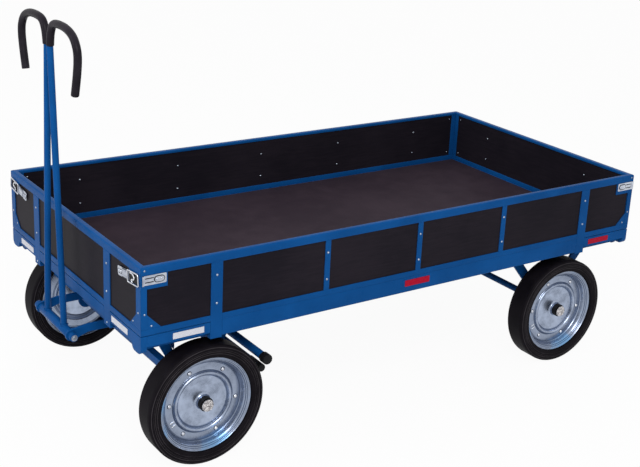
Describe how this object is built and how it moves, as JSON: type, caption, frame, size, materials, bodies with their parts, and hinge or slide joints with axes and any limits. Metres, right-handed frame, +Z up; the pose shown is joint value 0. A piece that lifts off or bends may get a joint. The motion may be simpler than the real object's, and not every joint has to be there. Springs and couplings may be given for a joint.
{
  "type": "platform hand cart",
  "caption": "Platform hand cart with a plywood deck inside low panelled walls, a turntable-steered front axle, solid-tyred disc wheels and a folding drawbar with two hooked grips.",
  "frame": {"origin": "on the ground under the middle of the cart's overall length and width, with the drawbar upright", "axes": "+X forward, towards the drawbar; +Y to the cart's left; +Z up"},
  "size_m": [2.117, 1.052, 1.3377],
  "materials": {
    "blue_paint": "glossy blue powder coat",
    "deck_plywood": "dark brown film-faced plywood with a fine mesh print",
    "panel_plywood": "dark brown film-faced plywood",
    "zinc_plate": "zinc plated",
    "zinc_rim": "bluish zinc plated pressed steel",
    "axle_steel": "bright steel",
    "tyre_rubber": "solid black rubber",
    "cap_rubber": "black rubber end cap",
    "grip_sleeve": "black shrunk grip sleeve"
  },
  "bodies": {
    "chassis": {"side_rail_left": "blue_paint", "side_rail_right": "blue_paint", "end_rail_front": "blue_paint", "end_rail_rear": "blue_paint", "cross_member_1": "blue_paint", "cross_member_2": "blue_paint", "cross_member_3": "blue_paint", "cross_member_4": "blue_paint", "cross_member_5": "blue_paint", "cross_member_6": "blue_paint", "side_skirt_left": "blue_paint", "side_skirt_right": "blue_paint", "wall_frame_left": "blue_paint", "wall_frame_right": "blue_paint", "wall_frame_front": "blue_paint", "wall_frame_rear": "blue_paint", "deck": "deck_plywood", "wall_panel_left": "panel_plywood", "wall_panel_right": "panel_plywood", "wall_panel_front": "panel_plywood", "wall_panel_rear": "panel_plywood", "latch_strike_front_left": "zinc_plate", "latch_strike_front_right": "zinc_plate", "latch_strike_rear_left": "zinc_plate", "latch_strike_rear_right": "zinc_plate", "latch_lever_front_left": "zinc_plate", "latch_lever_front_right": "zinc_plate", "latch_lever_rear_left": "zinc_plate", "latch_lever_rear_right": "zinc_plate", "turntable_upper": "zinc_plate", "rear_axle_bracket_left": "blue_paint", "rear_axle_bracket_right": "blue_paint", "rear_axle": "axle_steel"},
    "bogie": {"turntable_lower": "zinc_plate", "bogie_beam_front": "blue_paint", "bogie_beam_rear": "blue_paint", "fork_arm_left": "blue_paint", "fork_arm_right": "blue_paint", "front_axle_bracket_left": "blue_paint", "front_axle_bracket_right": "blue_paint", "front_axle": "axle_steel", "bogie_brace_front": "blue_paint", "bogie_brace_rear": "blue_paint", "brake_bar": "blue_paint", "brake_cap_left": "cap_rubber", "brake_cap_right": "cap_rubber"},
    "drawbar": {"drawbar_frame": "blue_paint", "drawbar_grip_left": "grip_sleeve", "drawbar_grip_right": "grip_sleeve"},
    "wheel_front_left": {"tyre_front_left": "tyre_rubber", "rim_front_left": "zinc_rim"},
    "wheel_front_right": {"tyre_front_right": "tyre_rubber", "rim_front_right": "zinc_rim"},
    "wheel_rear_left": {"tyre_rear_left": "tyre_rubber", "rim_rear_left": "zinc_rim"},
    "wheel_rear_right": {"tyre_rear_right": "tyre_rubber", "rim_rear_right": "zinc_rim"}
  },
  "joints": [
    {"name": "steering", "type": "hinge", "parent": "chassis", "child": "bogie", "pos_m": [0.7575, 0, 0.411], "axis": [0, 0, 1], "range_deg": [-18, 18]},
    {"name": "drawbar_fold", "type": "hinge", "parent": "bogie", "child": "drawbar", "pos_m": [1.0395, 0, 0.342], "axis": [0, 1, 0], "range_deg": [0, 105]},
    {"name": "wheel_spin_front_left", "type": "hinge", "parent": "bogie", "child": "wheel_front_left", "pos_m": [0.7575, 0.475, 0.2], "axis": [0, 1, 0], "continuous": true},
    {"name": "wheel_spin_front_right", "type": "hinge", "parent": "bogie", "child": "wheel_front_right", "pos_m": [0.7575, -0.475, 0.2], "axis": [0, 1, 0], "continuous": true},
    {"name": "wheel_spin_rear_left", "type": "hinge", "parent": "chassis", "child": "wheel_rear_left", "pos_m": [-0.7495, 0.475, 0.2], "axis": [0, 1, 0], "continuous": true},
    {"name": "wheel_spin_rear_right", "type": "hinge", "parent": "chassis", "child": "wheel_rear_right", "pos_m": [-0.7495, -0.475, 0.2], "axis": [0, 1, 0], "continuous": true}
  ]
}
